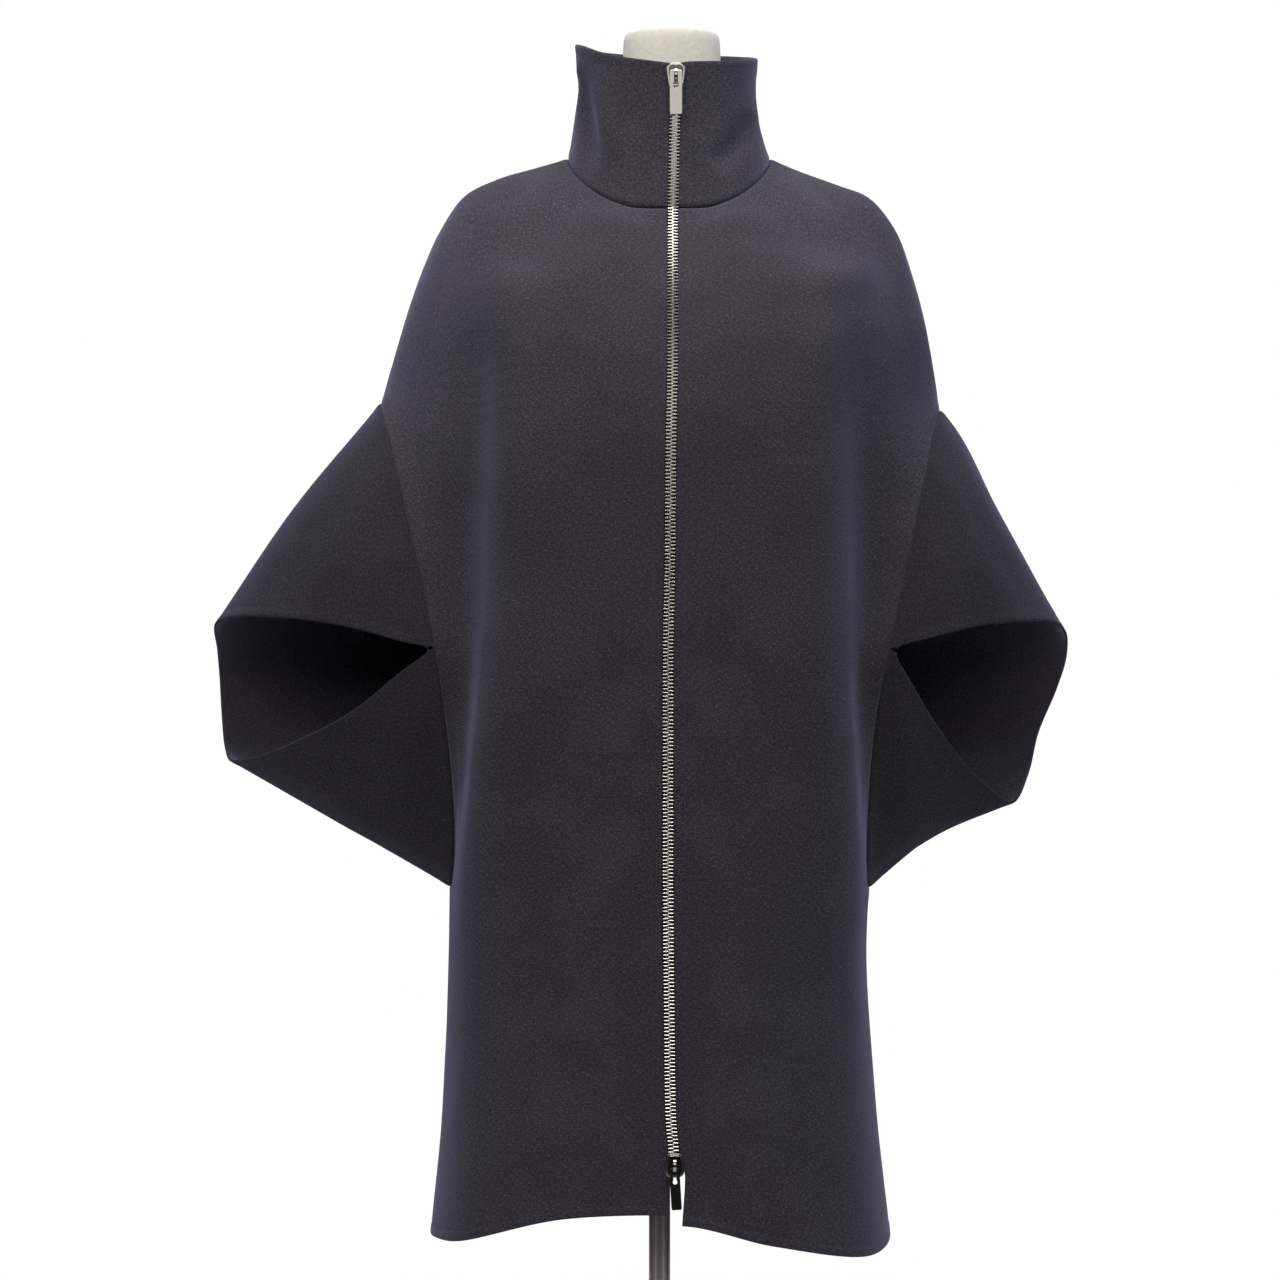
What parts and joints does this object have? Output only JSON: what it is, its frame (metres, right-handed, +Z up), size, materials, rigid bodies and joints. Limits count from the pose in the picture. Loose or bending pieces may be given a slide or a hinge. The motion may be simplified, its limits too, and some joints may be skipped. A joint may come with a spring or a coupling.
{
  "type": "cape on a dress form",
  "caption": "Wool cape coat with a funnel collar, wing sleeves slit for the arms and a two-way metal zip, standing on a limbless dress form with a pole and a round base.",
  "frame": {"origin": "centre of the underside of the stand's base, on the pole's axis", "axes": "+X to the wearer's left, -Y out of the front with the zip, +Z up along the pole"},
  "size_m": [0.7786, 0.33, 1.512],
  "materials": {
    "wool": "brushed dark grey-violet melange wool",
    "zip_tape": "woven black tape",
    "zip_metal": "polished nickel-coloured metal",
    "form_jersey": "cream jersey cover",
    "stand_steel": "dark polished steel"
  },
  "bodies": {
    "cape_and_form": {"front_right": "wool", "front_left": "wool", "back": "wool", "sleeve_right": "wool", "sleeve_left": "wool", "collar": "wool", "zip_tape_right": "zip_tape", "zip_tape_left": "zip_tape", "zip_chain": "zip_metal", "slider_top": "zip_metal", "slider_bottom": "zip_metal", "form_body": "form_jersey", "stand_pole": "stand_steel", "stand_base": "stand_steel"},
    "upper_pull": {"pull_top": "zip_metal"},
    "lower_pull": {"pull_bottom": "zip_metal"}
  },
  "joints": [
    {"name": "upper_pull_swing", "type": "hinge", "parent": "cape_and_form", "child": "upper_pull", "pos_m": [0.01377, -0.08423, 1.46077], "axis": [-1, 0, 0], "range_deg": [0, 150]},
    {"name": "lower_pull_swing", "type": "hinge", "parent": "cape_and_form", "child": "lower_pull", "pos_m": [0.0115, -0.15457, 0.51533], "axis": [-1, 0, 0], "range_deg": [0, 150]}
  ]
}
